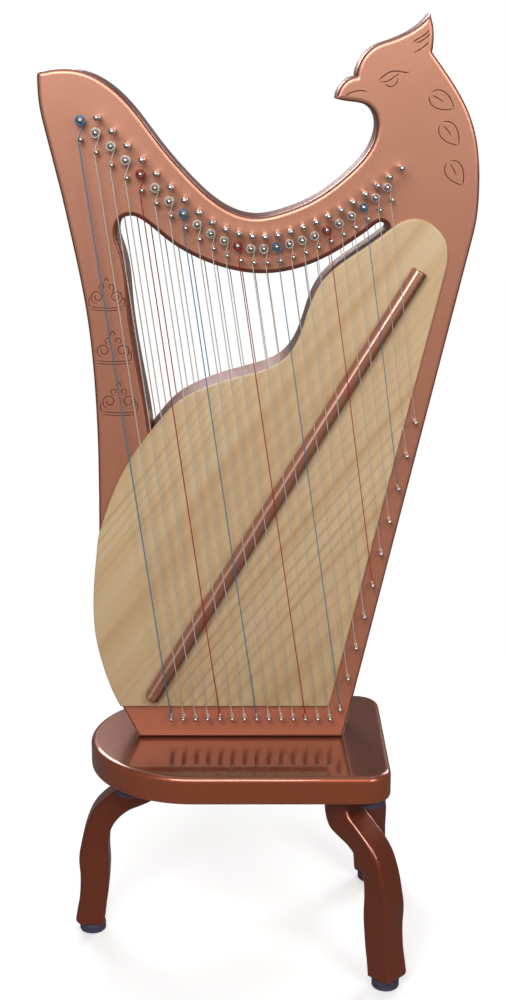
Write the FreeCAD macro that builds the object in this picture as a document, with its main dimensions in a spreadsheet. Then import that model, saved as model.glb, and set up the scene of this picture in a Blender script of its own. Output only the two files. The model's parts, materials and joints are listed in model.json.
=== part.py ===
"""A small bird-headed harp, double strung, on its D-shaped board with three curved legs.

Millimetres. +Z is up, +X is to the right of someone who faces the front strings, and -Y is towards them.
The origin lies on the floor under the middle of the stand.
"""
import FreeCAD, Part
import math
import os
import Sketcher
from FreeCAD import Placement, Rotation, Vector

# ---------------------------------------------------------------- driving dimensions
DIMENSIONS = {
    "frame_depth": 60,
    "harp_setback": 19,
    "soundboard_thickness": 5,
    "ledge_width": 13,
    "rib_wall": 10,
    "brace_width": 10,
    "brace_height": 14,
    "brace_blank": 700,
    "bridge_width": 18,
    "bridge_height": 14,
    "bridge_chamfer": 5,
    "bridge_length": 607,
    "pin_diameter": 6.6,
    "pin_clearance": 0.05,
    "wound_reach": 19,
    "drive_reach": 36,
    "drive_square": 5.8,
    "drive_length": 16,
    "string_hole": 1.8,
    "coil_reach": 12.5,
    "coil_width": 5.5,
    "coil_gap": 0.3,
    "post_diameter": 5,
    "post_reach": 17,
    "post_depth": 16,
    "post_neck": 3.6,
    "post_groove_width": 2.4,
    "loop_reach": 5.8,
    "bass_gauge": 1.4,
    "treble_gauge": 0.8,
    "board_length": 363,
    "board_depth": 258,
    "board_thickness": 35,
    "board_corner": 30,
    "board_edge_round": 6,
    "board_underside": 233.5,
    "leg_width": 35,
    "leg_edge_round": 4,
    "left_foot_x": -213,
    "right_foot_x": 151,
    "right_foot_y": 132.5,
    "foot_diameter": 33,
    "foot_height": 12,
    "pad_diameter": 31,
    "pad_height": 8,
    "bolt_diameter": 8,
    "bolt_head_diameter": 13,
    "bolt_head_height": 8,
    "bolt_engagement": 30,
    "stud_rise": 22,
}

STRINGS = 24
BOTTOM_ROW = 14

# ---------------------------------------------------------------- outlines, as (x, z) of the front view
BLOCK_LEFT, BLOCK_RIGHT = (-149, 268.5), (103, 268.5)
SHOULDER = (-191.5, 529)
HIP = (-170, 311)
LIMB_TOP = (242.6, 884)
NAPE = (190, 1083)
CREST_TIP = (186.5, 1124)
BROW = (106, 1057)
BEAK_TIP = (84.5, 1032.5)
NECK_LEFT = (-241, 1062.3)
PILLAR_TOP = (-247.3, 1056)
NECK_CORNER = (-245.8, 1060.8)

BULGE = [HIP, (-181, 335), (-191, 367), (-198, 401), (-200, 437), (-197.5, 480), SHOULDER]
PILLAR_OUTSIDE = [PILLAR_TOP, (-246, 1026), (-240.5, 998), (-227, 940), (-211, 862), (-199, 790),
                  (-193, 722), (-190.5, 650), (-190.5, 585), SHOULDER]
NECK_TOP = [(106, 1029), (122, 1023.5), (129.5, 1011), (129, 994), (122, 977), (99, 951), (62, 923.5),
            (26, 908.5), (-8, 903), (-41, 914), (-78, 945), (-113, 985), (-142, 1023), (-171, 1050),
            (-194, 1061.5), (-211, 1064.8), (-227, 1064.6), NECK_LEFT]
BEAK_UNDERSIDE = [BEAK_TIP, (94, 1030.5), (106, 1029)]
BEAK_TOP = [BROW, (94, 1052), (87, 1043), BEAK_TIP]
CROWN = [CREST_TIP, (178, 1114.5), (164, 1105), (144, 1096.5), (124, 1088.5), (111.5, 1075), BROW]
CREST_BACK = [NAPE, (191.5, 1097), (190.5, 1110), CREST_TIP]
HEAD_BACK = [LIMB_TOP, (246.5, 912), (247, 944), (243.5, 984), (232, 1020), (213, 1052), NAPE]

# the opening between the pillar, the neck and the sound box
SLOT_START, SLOT_END = (134.5, 896.5), (143.5, 887)
SLOT_BEND = (141.8, 895)
PILLAR_INSIDE = [(-132, 690), (-138, 725), (-149, 806), (-157, 866), (-162, 890),
                 (-156, 901), (-145, 904), (-133, 899), (-104, 876), (-76, 859), (-39, 845),
                 (-1, 839), (36, 843), (74, 857), (105, 875.5), SLOT_START]

# the sound box's shoulder, from the pillar's edge up to its round top and down to the limb
SOUNDBOARD_TOP = [SHOULDER, (-179, 567), (-153, 621), (-122, 663), (-99, 688), (-74, 703),
                  (-47, 713.5), (-16, 722.5), (9, 730), (26, 739.5), (39, 755), (53, 791), (64, 820),
                  (80, 841), (114, 866), (143.5, 887), (166, 900), (184, 900), (200, 890),
                  (211.5, 873), (213, 858), (209, 834)]
SOUNDBOARD_CORNER = (85, 311)

# the edge of the hollow behind the soundboards, hidden by them
OPENING_FOOT = (-127, 656)
HOLLOW_LEFT = [(-142.5, 613), (-167.5, 561), (-178, 522), (-184, 480), (-186.5, 438), (-184.5, 403),
               (-178, 372), (-168.5, 342), (-159, 324)]
HOLLOW_HEAD = [(163, 884), (182, 887.5), (197, 875), (200.3, 858), (196.3, 837)]
HOLLOW_CORNER = (74.7, 324)

# the lines along the neck that the pins and posts stand on
TUNING_LINE = [(-199, 1010), (-149, 966), (-101, 921), (-68, 894), (-36, 876), (-6, 868.5),
               (23, 872), (63, 884), (103, 906), (142, 937)]
UPPER_LINE = [(-179, 1013), (-130, 967), (-83, 923), (-51, 898), (-19, 886), (11, 884),
              (39, 891), (78, 907), (116, 930), (156, 959)]
GUIDE_LINE = [(-199, 989), (-147, 946), (-99, 905), (-66, 878), (-34, 860), (-3, 853),
              (25, 856), (67, 871), (108, 893), (148, 923)]
GUIDE_POSITIONS = (-199, 148, 17.0)
TUNING_POSITIONS = (-199, 142, 16.6)
UPPER_POSITIONS = (-179, 156, 16.2)

# the hitch posts: a level row over the block, then a row up the limb
HITCH_START, HITCH_PITCH = (-108, 298), 14.92
LIMB_ROW_START, LIMB_ROW_STEP = (98, 310.5), (9.2, 39.7)

# the bridge lies across the soundboard, from the hip to the top of the limb
BRIDGE_FOOT, BRIDGE_HEAD = (-132, 324), (182, 844)
BRACE_PLACES = (0.14, 0.42, 0.7)

# a leg's side view: distance out from its foot's middle, and height
LEG_OUTSIDE = [(15, 12), (20, 18), (19, 28), (14.5, 53), (13, 80), (14, 105), (11, 124), (5, 148),
               (-5, 171), (-18, 186), (-36, 200), (-52, 213), (-58, 233.5)]
LEG_INSIDE = [(-88, 233.5), (-88, 205), (-80, 186), (-66, 178), (-50, 171), (-35, 158), (-26, 141),
              (-23.5, 118), (-24, 90), (-21, 56), (-17, 28), (-15, 12)]

LEG_TURN = 45
PAD_PLACES = [(-157, -78), (-157, 78), (132, -108), (132, 108)]
HARP_BOLT_PLACES = (-95, 60)
LEG_BOLT_OUT = -73
BOARD_LEFT = -208
PIN_TURN_STEP = 37
WINDING_SHARE = 3
TOUCH = 0.1
LEAST_CUT = 100

# ---------------------------------------------------------------- document and sheet
doc = FreeCAD.newDocument("BirdHarp")
sheet = doc.addObject("Spreadsheet::Sheet", "Dimensions")
for row, (alias, value) in enumerate(DIMENSIONS.items(), 1):
    sheet.set(f"A{row}", alias)
    sheet.set(f"B{row}", str(value))
    sheet.setAlias(f"B{row}", alias)
doc.recompute()

SUBPARTS = []


def size(alias):
    """A driving dimension, as the sheet has it."""
    return float(getattr(sheet, alias))


def bind(thing, **sizes):
    """Bind a thing's properties to expressions on the sheet's cells."""
    for name, expression in sizes.items():
        thing.setExpression(name.replace("__", "."), expression)


def subpart(thing, label):
    """Count a thing among the sub-parts, under its own name."""
    thing.Label = label
    SUBPARTS.append(thing)
    return thing


# ---------------------------------------------------------------- lines and curves of the front view
def flat(point):
    """A point of the front view, in a sketch's own plane."""
    return Vector(point[0], point[1], 0)


def line(start, end):
    return Part.LineSegment(flat(start), flat(end))


def curve(points, start=None, end=None):
    """One smooth curve through the points, with its direction at either end if given."""
    path = Part.BSplineCurve()
    tangents = [Vector(1, 0, 0)] * len(points)
    held = [False] * len(points)
    if start:
        tangents[0], held[0] = flat(start), True
    if end:
        tangents[-1], held[-1] = flat(end), True
    places = [flat(p) for p in points]
    if True in held:
        path.interpolate(Points=places, Tangents=tangents, TangentFlags=held)
    else:
        path.interpolate(Points=places)
    return path


def arc(start, middle, end):
    return Part.Arc(flat(start), flat(middle), flat(end))


def across(path, x):
    """The height of a path that runs from left to right, at one x."""
    low, high = path.FirstParameter, path.LastParameter
    for _ in range(60):
        middle = (low + high) / 2
        if path.value(middle).x < x:
            low = middle
        else:
            high = middle
    return path.value(low).y


def spread(first, last, first_pitch, count=STRINGS):
    """Positions whose pitch shrinks or grows evenly from one end to the other."""
    gaps = count - 1
    last_pitch = 2 * (last - first) / gaps - first_pitch
    change = (last_pitch - first_pitch) / (gaps - 1)
    return [first + i * first_pitch + change * i * (i - 1) / 2 for i in range(count)]


def along(path_points, positions):
    """Points of a line along the neck, at the given positions."""
    path = curve(path_points)
    return [(x, across(path, x)) for x in spread(*positions)]


TUNING = along(TUNING_LINE, TUNING_POSITIONS)
UPPER = along(UPPER_LINE, UPPER_POSITIONS)
GUIDES = along(GUIDE_LINE, GUIDE_POSITIONS)
HITCHES = [(HITCH_START[0] + i * HITCH_PITCH, HITCH_START[1]) for i in range(BOTTOM_ROW)]
HITCHES += [(LIMB_ROW_START[0] + i * LIMB_ROW_STEP[0], LIMB_ROW_START[1] + i * LIMB_ROW_STEP[1])
            for i in range(STRINGS - BOTTOM_ROW)]

LIMB_RUN = (LIMB_TOP[0] - BLOCK_RIGHT[0], LIMB_TOP[1] - BLOCK_RIGHT[1])
EDGE_RUN = (SOUNDBOARD_CORNER[0] - SOUNDBOARD_TOP[-1][0], SOUNDBOARD_CORNER[1] - SOUNDBOARD_TOP[-1][1])
CONTOUR = curve(SOUNDBOARD_TOP, end=EDGE_RUN)


def inside_contour(point, inset):
    """The point of the sound box's contour nearest to a point, moved into the box."""
    place = CONTOUR.parameter(flat(point))
    run = CONTOUR.tangent(place)[0]
    moved = CONTOUR.value(place) + Vector(run.y, -run.x, 0) * inset
    return moved.x, moved.y


def contour_between(start, end):
    part_of = CONTOUR.copy()
    part_of.segment(CONTOUR.parameter(flat(start)), CONTOUR.parameter(flat(end)))
    return part_of


def frame_outside():
    """The frame's outer edge, clockwise from the block's foot."""
    return [
        line(BLOCK_LEFT, BLOCK_RIGHT),
        line(BLOCK_RIGHT, LIMB_TOP),
        curve(HEAD_BACK, start=LIMB_RUN),
        curve(CREST_BACK),
        curve(CROWN),
        curve(BEAK_TOP),
        curve(BEAK_UNDERSIDE + NECK_TOP[1:]),
        curve([NECK_LEFT, NECK_CORNER, PILLAR_TOP], start=(-1, 0), end=(0, -1)),
        curve(PILLAR_OUTSIDE, start=(0, -1)),
        curve(BULGE),
        line(HIP, BLOCK_LEFT),
    ]


def frame_inside():
    """The edge of the opening, then the edge of the hollow behind the soundboards."""
    foot = inside_contour(OPENING_FOOT, 0)
    left_ledge = inside_contour(OPENING_FOOT, size("ledge_width"))
    right_ledge = inside_contour(SLOT_END, size("ledge_width"))
    return [
        curve([foot] + PILLAR_INSIDE),
        Part.Arc(flat(SLOT_START), flat(SLOT_BEND), flat(SLOT_END)),
        line(SLOT_END, right_ledge),
        curve([right_ledge] + HOLLOW_HEAD, end=EDGE_RUN),
        line(HOLLOW_HEAD[-1], HOLLOW_CORNER),
        line(HOLLOW_CORNER, HOLLOW_LEFT[-1]),
        curve([left_ledge] + HOLLOW_LEFT),
        line(left_ledge, foot),
    ]


def soundboard_outline():
    return [line(SOUNDBOARD_CORNER, HIP), curve(BULGE), CONTOUR, line(SOUNDBOARD_TOP[-1], SOUNDBOARD_CORNER)]


def rib_outline():
    """The shoulder rib: a strip inside the contour, from the pillar to the limb."""
    first, last = OPENING_FOOT, SLOT_END
    outer = contour_between(first, last)
    places = [p for p in SOUNDBOARD_TOP if first[0] < p[0] < last[0]]
    wall = size("rib_wall")
    inner = [inside_contour(p, wall) for p in [first] + places + [last]]
    start, end = inside_contour(first, 0), inside_contour(last, 0)
    return [outer, line(end, inner[-1]), curve(inner), line(inner[0], start)]


# ---------------------------------------------------------------- bodies and sketches
def new_body(name):
    return doc.addObject("PartDesign::Body", name)


def plane_of(body, role):
    return next(f for f in body.Origin.OriginFeatures if f.Role == role)


def new_sketch(body, name, role, height=0):
    """A sketch on one of the body's own planes, raised along the plane's normal."""
    sketch = body.newObject("Sketcher::SketchObject", name)
    sketch.AttachmentSupport = (plane_of(body, role), [""])
    sketch.MapMode = "FlatFace"
    sketch.AttachmentOffset = Placement(Vector(0, 0, height), Rotation())
    return sketch


def draw(sketch, pieces):
    for piece in pieces:
        sketch.addGeometry(piece, False)


def draw_circles(sketch, centres, diameter):
    """Equal circles, whose diameter is bound to a cell or an expression on cells."""
    circles = [sketch.addGeometry(Part.Circle(flat(c), Vector(0, 0, 1), 1), False) for c in centres]
    first = sketch.addConstraint(Sketcher.Constraint("Diameter", circles[0], 2))
    for other in circles[1:]:
        sketch.addConstraint(Sketcher.Constraint("Equal", circles[0], other))
    sketch.setExpression(f"Constraints[{first}]", diameter)


def new_pad(body, sketch, length, middle=False):
    pad = body.newObject("PartDesign::Pad", sketch.Name + "Pad")
    pad.Profile = sketch
    pad.Midplane = middle
    bind(pad, Length=length)
    sketch.Visibility = False
    return pad


def new_pocket(body, sketch, length, reverse=False):
    pocket = body.newObject("PartDesign::Pocket", sketch.Name + "Pocket")
    pocket.Profile = sketch
    pocket.Reversed = reverse
    if length:
        bind(pocket, Length=length)
    else:
        pocket.Type = 1
        pocket.Midplane = True
    return pocket


def level_edges(shape, height, axis="z"):
    """The names of the edges that lie wholly at one height of a shape."""
    low, high = axis + "Min", axis + "Max"
    return [f"Edge{number}" for number, edge in enumerate(shape.Edges, 1)
            if abs(getattr(edge.BoundBox, low.upper()[0] + low[1:]) - height) < 1e-4
            and abs(getattr(edge.BoundBox, high.upper()[0] + high[1:]) - height) < 1e-4]


def round_edges(body, base, names, radius):
    fillet = body.newObject("PartDesign::Fillet", body.Name + "Round")
    fillet.Base = (base, names)
    bind(fillet, Radius=radius)
    return fillet


def group(name, things):
    """Several separate solids as one object."""
    together = doc.addObject("Part::Compound", name)
    together.Links = things
    return together


def plain(name, shape, placement=Placement()):
    thing = doc.addObject("Part::Feature", name)
    thing.Shape = shape
    thing.Placement = placement
    return thing


# ---------------------------------------------------------------- frame
def harp_frame():
    """Pillar, neck, bird's head, limb and block: one painted slab, open inside, bored for pins and posts."""
    body = new_body("HarpFrame")
    bind(body, Placement__Base__y="Dimensions.harp_setback")
    outline = new_sketch(body, "FrameOutline", "XZ_Plane")
    draw(outline, frame_outside() + frame_inside())
    new_pad(body, outline, "Dimensions.frame_depth", middle=True)

    bores = new_sketch(body, "PinBores", "XZ_Plane")
    draw_circles(bores, TUNING + UPPER, "Dimensions.pin_diameter + 2 * Dimensions.pin_clearance")
    new_pocket(body, bores, "")

    for side, reverse in (("Front", False), ("Back", True)):
        posts = new_sketch(body, f"{side}PostBores", "XZ_Plane")
        draw_circles(posts, GUIDES + HITCHES, "Dimensions.post_diameter")
        sign = "-" if reverse else ""
        bind(posts, AttachmentOffset__Base__z=f"{sign}Dimensions.frame_depth / 2")
        new_pocket(body, posts, "Dimensions.post_depth", reverse)

    bolts = new_sketch(body, "BoltBores", "XY_Plane", BLOCK_LEFT[1])
    draw_circles(bolts, [(x, 0) for x in HARP_BOLT_PLACES], "Dimensions.bolt_diameter")
    new_pocket(body, bolts, "Dimensions.bolt_engagement", reverse=True)
    return subpart(body, "harp_frame")


# ---------------------------------------------------------------- sound box
def soundboard(side):
    """A thin plate of pale wood glued over one face of the hollow."""
    body = new_body(f"{side}Soundboard")
    bind(body, Placement__Base__y="Dimensions.harp_setback")
    outline = new_sketch(body, f"{side}SoundboardOutline", "XZ_Plane")
    draw(outline, soundboard_outline())
    sign = "" if side == "Front" else "-"
    bind(outline, AttachmentOffset__Base__z=f"{sign}Dimensions.frame_depth / 2")
    pad = new_pad(body, outline, "Dimensions.soundboard_thickness")
    pad.Reversed = side == "Back"
    return subpart(body, f"{side.lower()}_soundboard")


def soundbox_rib():
    """The bent rib that closes the sound box along the opening, from the pillar to the limb."""
    body = new_body("SoundboxRib")
    bind(body, Placement__Base__y="Dimensions.harp_setback")
    outline = new_sketch(body, "RibOutline", "XZ_Plane")
    draw(outline, rib_outline())
    new_pad(body, outline, "Dimensions.frame_depth", middle=True)
    return subpart(body, "soundbox_rib")


def hollow_face():
    """The front view of the room between the soundboards, inside the frame and the rib."""
    rib_inside = rib_outline()[2]
    ledges = frame_inside()[3:7]
    left_ledge = inside_contour(OPENING_FOOT, size("ledge_width"))
    right_ledge = inside_contour(SLOT_END, size("ledge_width"))
    ends = [line(rib_inside.StartPoint[:2], left_ledge), line(rib_inside.EndPoint[:2], right_ledge)]
    edges = [piece.toShape() for piece in [rib_inside] + ledges + ends]
    return Part.Face(Part.Wire(Part.__sortEdges__(edges)))


def face_place(side, reach=0):
    """How far back a place lies that is a reach out from the frame's front or back face."""
    out = size("frame_depth") / 2 + reach
    return size("harp_setback") + (-out if side == "Front" else out)


BRIDGE_RUN = Vector(BRIDGE_HEAD[0] - BRIDGE_FOOT[0], 0, BRIDGE_HEAD[1] - BRIDGE_FOOT[1])
RUN = Vector(BRIDGE_RUN).normalize()
ACROSS = Vector(-RUN.z, 0, RUN.x)


def soundbox_braces():
    """Three braces across the grain behind each soundboard, cut to the hollow's edge."""
    depth = size("frame_depth")
    hollow = hollow_face().extrude(Vector(0, 0, depth))
    room = plain("Hollow", hollow, Placement(Vector(0, face_place("Back"), 0), Rotation(Vector(1, 0, 0), 90)))
    braces = []
    for side in ("Front", "Back"):
        inner = face_place(side) - (size("brace_height") if side == "Back" else 0)
        for number, share in enumerate(BRACE_PLACES, 1):
            blank = doc.addObject("Part::Box", f"{side}BraceBlank{number}")
            bind(blank, Length="Dimensions.brace_blank", Width="Dimensions.brace_width",
                 Height="Dimensions.brace_height")
            middle = Vector(BRIDGE_FOOT[0], inner, BRIDGE_FOOT[1]) + BRIDGE_RUN * share
            corner = middle - ACROSS * size("brace_blank") / 2 - RUN * size("brace_width") / 2
            blank.Placement = Placement(corner, Rotation(ACROSS, RUN, Vector(0, 1, 0), "XYZ"))
            brace = doc.addObject("Part::Common", f"{side}Brace{number}")
            brace.Base, brace.Tool = blank, room
            braces.append(brace)
    return subpart(group("Braces", braces), "soundbox_braces")


def bridge(side):
    """A bar with chamfered edges, glued along one soundboard."""
    body = new_body(f"{side}Bridge")
    profile = new_sketch(body, f"{side}BridgeProfile", "YZ_Plane")
    half, height, cut = size("bridge_width") / 2, size("bridge_height"), size("bridge_chamfer")
    corners = [(-half, 0), (half, 0), (half, height - cut), (half - cut, height),
               (cut - half, height), (-half, height - cut)]
    draw(profile, [line(p, q) for p, q in zip(corners, corners[1:] + corners[:1])])
    new_pad(body, profile, "Dimensions.bridge_length")
    out = Vector(0, -1 if side == "Front" else 1, 0)
    foot = Vector(BRIDGE_FOOT[0], face_place(side, size("soundboard_thickness")), BRIDGE_FOOT[1])
    body.Placement = Placement(foot, Rotation(RUN, out.cross(RUN), out, "XYZ"))
    return body


# ---------------------------------------------------------------- tuning pins
def tuning_pin(side, number, place):
    """A steel pin through the neck: its string is wound on one side, and its other end is squared for the key."""
    name = f"{side}Pin{number:02d}"
    round_length = "(Dimensions.wound_reach + Dimensions.frame_depth + Dimensions.drive_reach" \
                   " - Dimensions.drive_length)"
    shaft = doc.addObject("Part::Cylinder", name + "Shaft")
    bind(shaft, Radius="Dimensions.pin_diameter / 2", Height=round_length)
    square = doc.addObject("Part::Box", name + "Square")
    bind(square, Length="Dimensions.drive_square", Width="Dimensions.drive_square",
         Height="Dimensions.drive_length", Placement__Base__x="-Dimensions.drive_square / 2",
         Placement__Base__y="-Dimensions.drive_square / 2", Placement__Base__z=round_length)
    blank = doc.addObject("Part::Fuse", name + "Blank")
    blank.Base, blank.Tool = shaft, square
    hole = doc.addObject("Part::Cylinder", name + "Hole")
    hole.Placement = Placement(Vector(0, 0, 0), Rotation(Vector(1, 0, 0), 90))
    bind(hole, Radius="Dimensions.string_hole / 2", Height="2 * Dimensions.pin_diameter",
         Placement__Base__y="Dimensions.pin_diameter",
         Placement__Base__z="Dimensions.wound_reach - Dimensions.coil_reach")
    pin = doc.addObject("Part::Cut", name)
    pin.Base, pin.Tool = blank, hole
    lie = Rotation(Vector(1, 0, 0), -90 if side == "Front" else 90)
    turn = Rotation(Vector(0, 0, 1), number * PIN_TURN_STEP % 90)
    tip = Vector(place[0], face_place(side, size("wound_reach")), place[1])
    pin.Placement = Placement(tip, lie.multiply(turn))
    return subpart(pin, f"tuning_pin_{side.lower()}_{number:02d}")


# ---------------------------------------------------------------- posts
def post_shape():
    """A grooved steel post along +z, its shank below zero and its reach above."""
    radius, neck = size("post_diameter") / 2, size("post_neck") / 2
    reach, depth, groove = size("post_reach"), size("post_depth"), size("post_groove_width") / 2
    middle = size("coil_reach")
    dome = radius / 2
    profile = [(0, -depth), (radius, -depth), (radius, middle - groove), (neck, middle - groove),
               (neck, middle + groove), (radius, middle + groove), (radius, reach - dome),
               (radius - dome, reach), (0, reach), (0, -depth)]
    wire = Part.makePolygon([Vector(r, 0, z) for r, z in profile])
    return Part.Face(wire).revolve(Vector(0, 0, 0), Vector(0, 0, 1), 360)


def string_posts():
    """The grooved posts that guide the strings under the tuning pins, and those that hold their lower ends."""
    post = post_shape()
    posts = []
    for side, turn in (("Front", 90), ("Back", -90)):
        for x, z in GUIDES + HITCHES:
            copy = post.copy()
            copy.Placement = Placement(Vector(x, face_place(side), z), Rotation(Vector(1, 0, 0), turn))
            posts.append(copy)
    return subpart(plain("StringPosts", Part.makeCompound(posts)), "string_posts")


# ---------------------------------------------------------------- strings
def tangent_point(centre, radius, target, turn):
    """Where a line from a target touches a circle, on its +x side for a turn of 1 and its -x side for -1."""
    run = math.hypot(target[0] - centre[0], target[1] - centre[1])
    angle = math.atan2(target[1] - centre[1], target[0] - centre[0]) + turn * math.acos(radius / run)
    return centre[0] + radius * math.cos(angle), centre[1] + radius * math.sin(angle)


def crossing(start, end, over):
    """Where a line of the front view meets a line along the bridge, moved over from its middle."""
    origin = (BRIDGE_FOOT[0] + ACROSS.x * over, BRIDGE_FOOT[1] + ACROSS.z * over)
    run = (end[0] - start[0], end[1] - start[1])
    off = (origin[0] - start[0], origin[1] - start[1])
    share = (off[0] * RUN.z - off[1] * RUN.x) / (run[0] * RUN.z - run[1] * RUN.x)
    return start[0] + run[0] * share, start[1] + run[1] * share


def corner_round(centre, radius, above, below):
    """Where two lines meet that pass a circle on its -x side, one from above it and one from below."""
    upper = tangent_point(centre, radius, above, 1)
    lower = tangent_point(centre, radius, below, -1)
    way = ((upper[0] + lower[0]) / 2 - centre[0], (upper[1] + lower[1]) / 2 - centre[1])
    stretch = radius ** 2 / (way[0] ** 2 + way[1] ** 2)
    return centre[0] + way[0] * stretch, centre[1] + way[1] * stretch


def winding(centre, inner, wall, length):
    """A ring of wound string round a pin or post, along the depth."""
    start = centre - Vector(0, length / 2, 0)
    ring = Part.makeCylinder(inner + wall, length, start, Vector(0, 1, 0))
    return ring.cut(Part.makeCylinder(inner, length, start, Vector(0, 1, 0)))


def string_solid(side, pin, guide, hitch, gauge):
    """One string: wound on its pin, past its guide post, over the bridge and round its hitch post."""
    radius = gauge / 2
    wall = WINDING_SHARE * radius
    coil_inner = size("pin_diameter") / 2 + size("coil_gap")
    coil_middle = coil_inner + wall / 2
    loop_inner = size("post_diameter") / 2
    level = face_place(side, size("coil_reach"))
    over_bridge = face_place(side, size("soundboard_thickness") + size("bridge_height") + radius + TOUCH)
    loop_level = face_place(side, size("loop_reach"))
    turn = 1 if side == "Front" else -1

    bend_radius = size("post_neck") / 2 + radius + TOUCH
    leave = tangent_point(pin, coil_middle, (guide[0] - bend_radius, guide[1]), turn)
    bend = corner_round(guide, bend_radius, leave, hitch)
    leave = tangent_point(pin, coil_middle, bend, turn)
    share = (loop_inner + wall / 2) / math.hypot(bend[0] - hitch[0], bend[1] - hitch[1])
    end = (hitch[0] + (bend[0] - hitch[0]) * share, hitch[1] + (bend[1] - hitch[1]) * share)
    top_half = size("bridge_width") / 2 - size("bridge_chamfer")
    rests = [crossing(bend, end, over) for over in (top_half, -top_half)]
    path = [Vector(leave[0], level, leave[1]), Vector(bend[0], level, bend[1])]
    path += [Vector(x, over_bridge, z) for x, z in rests]
    path.append(Vector(end[0], loop_level, end[1]))

    solids = [Part.makeCylinder(radius, (q - p).Length, p, q - p) for p, q in zip(path, path[1:])]
    solids += [Part.makeSphere(radius, p) for p in path[1:-1]]
    solids.append(winding(Vector(hitch[0], loop_level, hitch[1]), loop_inner, wall, wall))
    coil = winding(Vector(pin[0], level, pin[1]), coil_inner, wall, size("coil_width"))
    return coil.multiFuse(solids)


def strings():
    """Twenty-four strings on each face, thinner towards the treble."""
    solids = []
    for side, pins in (("Front", TUNING), ("Back", UPPER)):
        for number in range(STRINGS):
            share = number / (STRINGS - 1)
            gauge = size("bass_gauge") + (size("treble_gauge") - size("bass_gauge")) * share
            solids.append(string_solid(side, pins[number], GUIDES[number], HITCHES[number], gauge))
    return subpart(plain("Strings", Part.makeCompound(solids)), "strings")


# ---------------------------------------------------------------- stand
def base_board():
    """A thick board, round at the bass end, with its corners and edges eased, bored for the bolts."""
    body = new_body("BaseBoard")
    outline = new_sketch(body, "BoardOutline", "XY_Plane")
    half, corner = size("board_depth") / 2, size("board_corner")
    left, right = BOARD_LEFT, BOARD_LEFT + size("board_length")
    bow = left + half
    bite = corner * (1 - math.cos(math.pi / 4))
    draw(outline, [
        arc((bow, half), (left, 0), (bow, -half)),
        line((bow, -half), (right - corner, -half)),
        arc((right - corner, -half), (right - bite, bite - half), (right, corner - half)),
        line((right, corner - half), (right, half - corner)),
        arc((right, half - corner), (right - bite, half - bite), (right - corner, half)),
        line((right - corner, half), (bow, half)),
    ])
    bind(outline, AttachmentOffset__Base__z="Dimensions.board_underside")
    pad = new_pad(body, outline, "Dimensions.board_thickness")
    doc.recompute()
    low = size("board_underside")
    high = low + size("board_thickness")
    round_edges(body, pad, level_edges(pad.Shape, low) + level_edges(pad.Shape, high),
                "Dimensions.board_edge_round")

    harp_bolts = [(x, size("harp_setback")) for x in HARP_BOLT_PLACES]
    leg_bolts = [leg_bolt_place(place) for place in leg_places()]
    for name, centres, diameter, depth in (
            ("BoltBore", harp_bolts, "Dimensions.bolt_diameter", "Dimensions.board_thickness"),
            ("HeadBore", harp_bolts, "Dimensions.bolt_head_diameter", "Dimensions.bolt_head_height"),
            ("StudBore", leg_bolts, "Dimensions.bolt_diameter", "Dimensions.stud_rise")):
        bore = new_sketch(body, name, "XY_Plane")
        draw_circles(bore, centres, diameter)
        bind(bore, AttachmentOffset__Base__z="Dimensions.board_underside")
        new_pocket(body, bore, depth, reverse=True)
    return subpart(body, "base_board")


def leg_places():
    """Each leg's foot and the way that it points, in degrees from +x."""
    x, y = size("right_foot_x"), size("right_foot_y")
    return [("Left", (size("left_foot_x"), 0), 180), ("RightFront", (x, -y), -LEG_TURN),
            ("RightBack", (x, y), LEG_TURN)]


def leg_bolt_place(leg_place):
    _, foot, heading = leg_place
    angle = math.radians(heading)
    return foot[0] + LEG_BOLT_OUT * math.cos(angle), foot[1] + LEG_BOLT_OUT * math.sin(angle)


def leg(name, foot, heading):
    """A curved leg sawn from a thick plank, its long edges rounded."""
    body = new_body(name + "Leg")
    outline = new_sketch(body, name + "LegOutline", "XZ_Plane")
    draw(outline, [curve(LEG_OUTSIDE), line(LEG_OUTSIDE[-1], LEG_INSIDE[0]),
                   curve(LEG_INSIDE), line(LEG_INSIDE[-1], LEG_OUTSIDE[0])])
    pad = new_pad(body, outline, "Dimensions.leg_width", middle=True)
    doc.recompute()
    width = size("leg_width")
    level = level_edges(pad.Shape, -width / 2, "y") + level_edges(pad.Shape, width / 2, "y")
    long_edges = [edge for edge in level if pad.Shape.getElement(edge).Length > width]
    round_edges(body, pad, long_edges, "Dimensions.leg_edge_round")
    bore = new_sketch(body, name + "LegBore", "XY_Plane")
    draw_circles(bore, [(LEG_BOLT_OUT, 0)], "Dimensions.bolt_diameter")
    bind(bore, AttachmentOffset__Base__z="Dimensions.board_underside")
    new_pocket(body, bore, "Dimensions.bolt_engagement")
    body.Placement = Placement(Vector(foot[0], foot[1], 0), Rotation(Vector(0, 0, 1), heading))
    return body


def upright(name, place, radius, height, base=""):
    """A cylinder that stands at a place, on the floor or higher, its sizes bound to the sheet."""
    thing = doc.addObject("Part::Cylinder", name)
    thing.Placement = Placement(Vector(place[0], place[1], 0), Rotation())
    bind(thing, Radius=radius, Height=height)
    if base:
        bind(thing, Placement__Base__z=base)
    return thing


def rubber_feet():
    """A rubber foot under each leg, and the board's own four low ones for use on a table."""
    feet = [upright(f"{name}Foot", foot, "Dimensions.foot_diameter / 2", "Dimensions.foot_height")
            for name, foot, _ in leg_places()]
    feet += [upright(f"BoardPad{number}", place, "Dimensions.pad_diameter / 2", "Dimensions.pad_height",
                     "Dimensions.board_underside - Dimensions.pad_height")
             for number, place in enumerate(PAD_PLACES, 1)]
    return subpart(group("RubberFeet", feet), "rubber_feet")


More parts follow.
